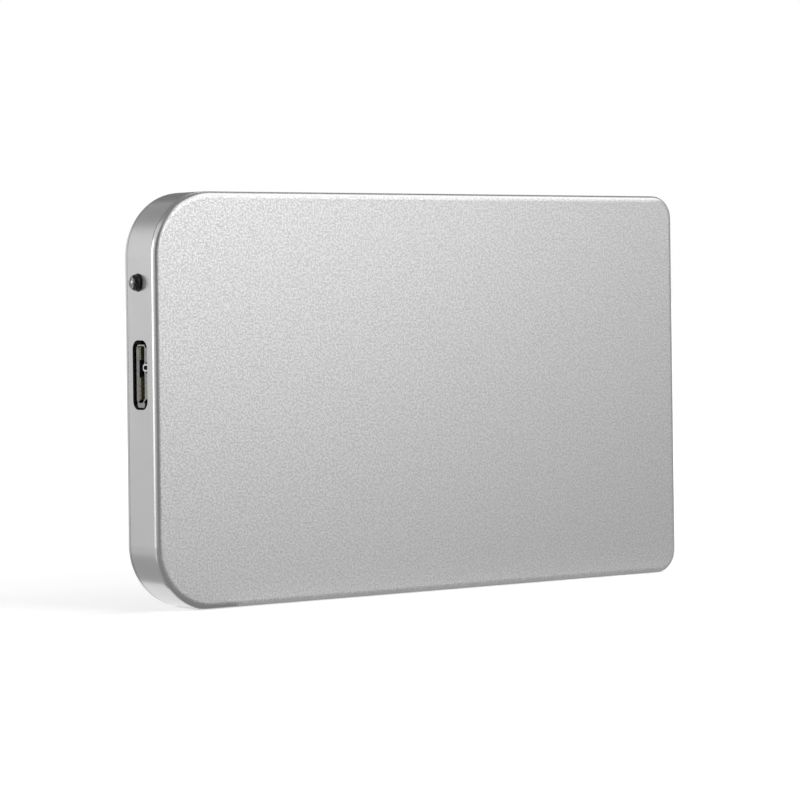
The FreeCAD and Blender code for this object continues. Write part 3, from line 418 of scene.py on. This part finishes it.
def turned_lens():
    """Indicator lamp turned with a finely rounded dome, to the form of its solid."""
    middle = (LAMP_LOW + LAMP_HIGH) / 2
    flange_radius = (LAMP_HIGH.y - LAMP_LOW.y) / 2
    radius = flange_radius - LAMP_FLANGE_STEP
    seat = LAMP_HIGH.x - LAMP_FLANGE
    dome_x = LAMP_LOW.x + radius
    steps = [math.pi / 2 * i / DOME_STEPS for i in range(1, DOME_STEPS + 1)]
    profile = [(dome_x - radius * math.cos(a), radius * math.sin(a)) for a in steps]
    profile += [(seat, radius), (seat, flange_radius), (LAMP_HIGH.x, flange_radius)]
    turns = [2 * math.pi * i / DOME_SIDES for i in range(DOME_SIDES)]
    points = []
    for x, r in profile:
        points += [(x, middle.y + r * math.cos(t), middle.z + r * math.sin(t)) for t in turns]
    tip, end = len(points), len(points) + 1
    points += [(LAMP_LOW.x, middle.y, middle.z), (LAMP_HIGH.x, middle.y, middle.z)]
    last = (len(profile) - 1) * DOME_SIDES
    faces = []
    for side in range(DOME_SIDES):
        after = (side + 1) % DOME_SIDES
        faces.append((tip, after, side))
        faces.append((end, last + side, last + after))
        for ring in range(0, last, DOME_SIDES):
            below = ring + DOME_SIDES
            faces.append((ring + side, ring + after, below + after, below + side))
    mesh = bpy.data.meshes.new("indicator_lens")
    mesh.from_pydata(points, [], faces)
    for face in mesh.polygons:
        face.use_smooth = face.center.x < seat - LAMP_FLANGE
    mesh.materials.append(MATERIALS["lamp_lens"])
    lens = add_object("indicator_lens", mesh)
    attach(lens, "root")
    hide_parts("indicator_lamp")


def make_world():
    """White room for what is seen directly or in a reflection, softer as a fill light."""
    world = bpy.data.worlds.new("white_room")
    bpy.context.scene.world = world
    world.use_nodes = True
    world.node_tree.nodes.clear()
    graph = Graph(world.node_tree)
    strength = graph.spread(graph.seen(), 0.0, 1.0, ROOM_FILL, ROOM_WHITE)
    background = graph.node("ShaderNodeBackground", {"Color": grey(1), "Strength": strength})
    graph.node("ShaderNodeOutputWorld", {"Surface": background.outputs[0]})


def flat_panel(name, centre, across, upward):
    """Flat four-sided stage panel about a centre, from its half width and half height vectors."""
    low, high = centre - upward, centre + upward
    corners = [low - across, low + across, high + across, high - across]
    mesh = bpy.data.meshes.new(name)
    mesh.from_pydata([tuple(corner) for corner in corners], [], [(0, 1, 2, 3)])
    panel = add_object(name, mesh)
    return panel


def make_floor():
    """Pale floor that shows white and keeps the shadow of the case."""
    half = FLOOR_SIZE / 2
    floor = flat_panel("floor", Vector((0, 0, 0)), Vector((half, 0, 0)), Vector((0, half, 0)))
    material, graph, inputs = new_material(
        "floor_paper", Base_Color=FLOOR_COLOUR, Roughness=FLOOR_ROUGHNESS
    )
    away = graph.node("ShaderNodeVectorMath", {0: graph.place()}, operation="LENGTH").outputs["Value"]
    glow = graph.spread(away, FLOOR_NEAR, FLOOR_FAR, FLOOR_GLOW_NEAR, FLOOR_GLOW_FAR, smooth=True)
    graph.feed(inputs["Emission Strength"], graph.math("MULTIPLY", graph.seen(), glow))
    floor.data.materials.append(material)


def make_card(name, centre, across, upward, tone):
    """Grey card that only shows in reflections."""
    card = flat_panel(name, centre, across, upward)
    material = new_material(
        name, Base_Color=grey(0), Roughness=1.0, Emission_Color=grey(tone), Emission_Strength=1.0
    )[0]
    card.data.materials.append(material)
    card.visible_camera = False
    card.visible_diffuse = False
    card.visible_shadow = False


def make_softbox(name, place, width, height, radiance):
    """Soft rectangular lamp aimed at the case, set by how bright its face looks."""
    data = bpy.data.lights.new(name, "AREA")
    data.shape = "RECTANGLE"
    data.size = width
    data.size_y = height
    data.energy = radiance * math.pi * width * height
    softbox = add_object(name, data)
    softbox.location = place
    softbox.rotation_mode = "QUATERNION"
    softbox.rotation_quaternion = (CASE_MIDDLE - place).to_track_quat("-Z", "Y")
    softbox.visible_camera = False


def make_camera():
    data = bpy.data.cameras.new("photo_camera")
    data.lens = CAMERA_LENS
    data.sensor_width = CAMERA_SENSOR
    data.shift_x, data.shift_y = CAMERA_SHIFT
    data.clip_start = CAMERA_NEAR
    data.clip_end = CAMERA_FAR
    camera = add_object("photo_camera", data)
    turn = Matrix((CAMERA_RIGHT, CAMERA_UP, -CAMERA_FORWARD)).transposed().to_4x4()
    camera.matrix_world = Matrix.Translation(CAMERA_PLACE) @ turn
    bpy.context.scene.camera = camera


turned_lens()
make_world()
make_floor()
for name, (place, width, height, radiance) in SOFTBOXES.items():
    make_softbox(name, Vector(place), width, height, radiance)
for name, (centre, across, upward, tone) in CARDS.items():
    make_card(name, Vector(centre), Vector(across), Vector(upward), tone)
make_camera()
bpy.context.scene.view_settings.view_transform = "Standard"
